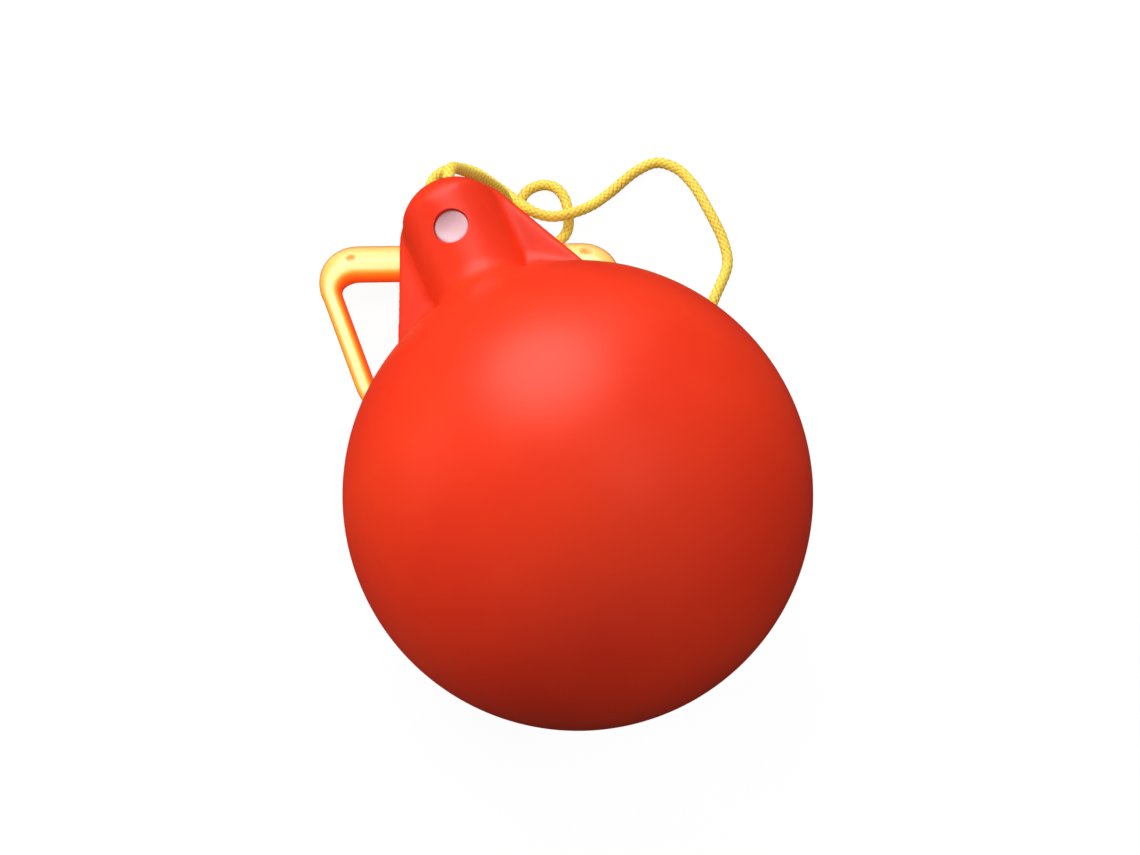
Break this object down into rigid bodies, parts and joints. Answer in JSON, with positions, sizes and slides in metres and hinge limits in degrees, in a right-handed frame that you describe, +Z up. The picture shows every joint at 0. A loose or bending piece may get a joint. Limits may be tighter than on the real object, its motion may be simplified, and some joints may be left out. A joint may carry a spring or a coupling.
{
  "type": "throwing hammer",
  "caption": "Children's throwing hammer: hollow red PVC ball with a moulded lug and cross pin, yellow braided rope and a clear yellow D-shaped handle.",
  "frame": {"origin": "middle of the box round the ball, its lug and the handle, on the floor that the hammer lies on", "axes": "+Z up from the floor; +Y from the ball towards the lug's side, along the longer side of the rigid pieces; the ball stands on its flattened patch"},
  "size_m": [0.1812, 0.2396, 0.1598],
  "materials": {
    "red_pvc": "satin",
    "white_nylon": "satin",
    "yellow_rope": "matte",
    "clear_yellow": "gloss"
  },
  "bodies": {
    "head": {"ball_shell": "red_pvc", "vent_plug": "red_pvc", "cross_pin": "white_nylon"},
    "rope": {"rope_eye": "yellow_rope", "rope_free": "yellow_rope", "rope_handle_loop": "yellow_rope"},
    "handle": {"handle": "clear_yellow"}
  },
  "joints": [
    {"name": "rope_swing", "type": "hinge", "parent": "head", "child": "rope", "pos_m": [-0.03041, 0.0726, 0.07977], "axis": [-0.1588, -0.0703, 0.9848], "range_deg": [-3, 3]},
    {"name": "handle_flap", "type": "hinge", "parent": "rope", "child": "handle", "pos_m": [-0.03052, 0.02589, 0.0072], "axis": [0.9999, 0.0157, 0], "range_deg": [0, 30]}
  ]
}
